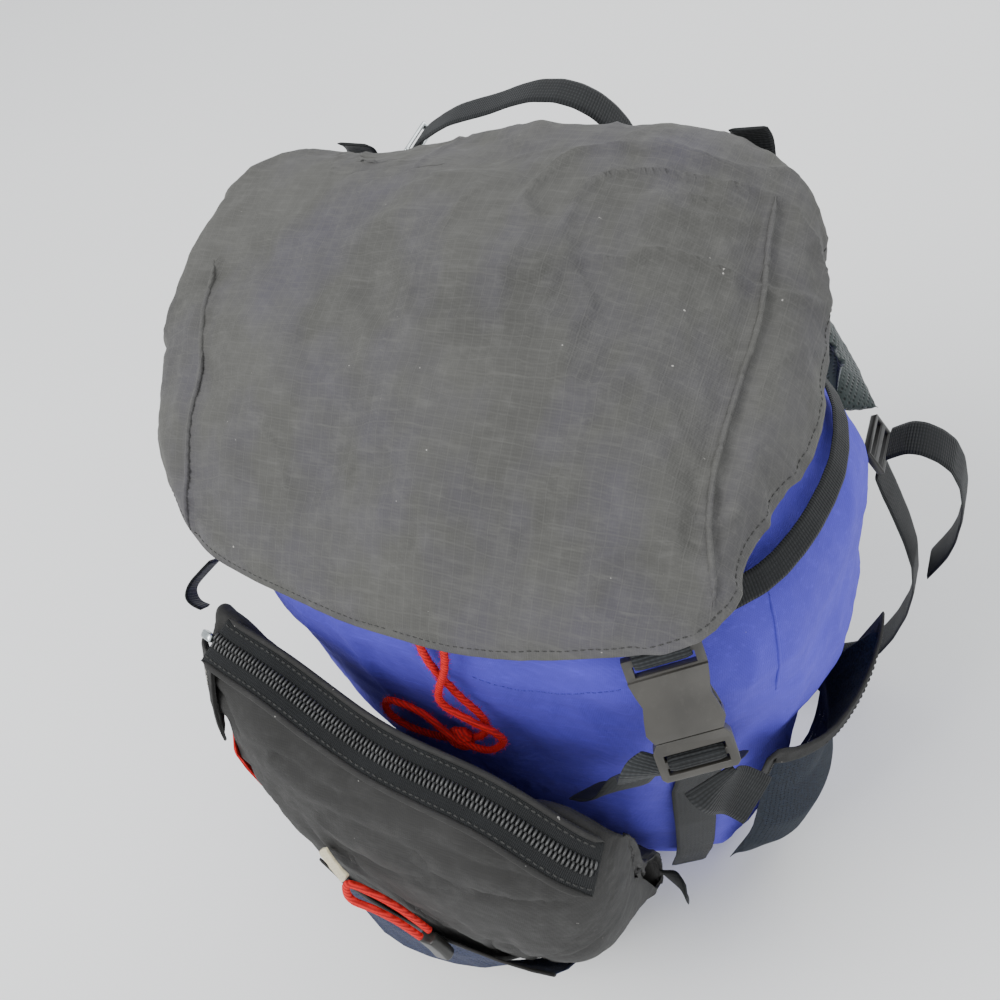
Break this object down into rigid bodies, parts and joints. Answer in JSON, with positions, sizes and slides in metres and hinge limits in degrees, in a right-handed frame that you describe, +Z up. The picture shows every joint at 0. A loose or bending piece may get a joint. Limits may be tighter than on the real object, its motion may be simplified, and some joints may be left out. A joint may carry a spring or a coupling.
{
  "type": "hiking backpack",
  "caption": "Soft top-loading hiking pack with a domed lid on a buckled strap, a zipped front pocket, net side pockets, a padded back and shoulder straps.",
  "frame": {"origin": "middle of the sack's flat base, on the floor", "axes": "+Z up; +X to the right of someone who faces the front pocket; +Y towards the wearer's back"},
  "size_m": [0.4186, 0.4127, 0.512],
  "materials": {
    "lid_cloth": "matte woven cloth",
    "sack_cloth": "matte woven cloth",
    "pocket_cloth": "matte woven cloth",
    "pad_cloth": "matte padded cloth",
    "net": "open net",
    "webbing": "ribbed webbing",
    "red_cord": "braided",
    "plastic": "moulded, lightly worn",
    "metal": "bright plated",
    "cream_tape": "frayed tape",
    "coil_plastic": "satin"
  },
  "bodies": {
    "root": {"sack": "sack_cloth", "lid": "lid_cloth", "front_pocket": "pocket_cloth", "zip_tape": "webbing", "zip_coil": "coil_plastic", "zip_slider": "metal", "pocket_mesh": "net", "lash_strap": "webbing", "label_patch": "red_cord", "lash_tab": "cream_tape", "bungee_loop": "red_cord", "bungee_sleeve": "plastic", "buckle_socket": "plastic", "buckle_plug": "plastic", "lid_strap_right": "webbing", "front_strap_right": "webbing", "strap_tail_left": "webbing", "strap_tail_right": "webbing", "compression_strap_right": "webbing", "lid_tail_left": "webbing", "side_mesh_right": "net", "side_mesh_left": "net", "back_panel": "pad_cloth", "shoulder_strap_right": "pad_cloth", "shoulder_webbing_right": "webbing", "shoulder_tail_right": "webbing", "ladder_lock_right": "plastic", "shoulder_strap_left": "pad_cloth", "shoulder_webbing_left": "webbing", "shoulder_tail_left": "webbing", "ladder_lock_left": "plastic", "haul_loop": "webbing", "haul_keeper": "metal", "lid_tie_right": "webbing", "lid_tie_left": "webbing", "drawcord": "red_cord", "drawcord_knot": "red_cord", "strap_end": "webbing"}
  },
  "joints": []
}
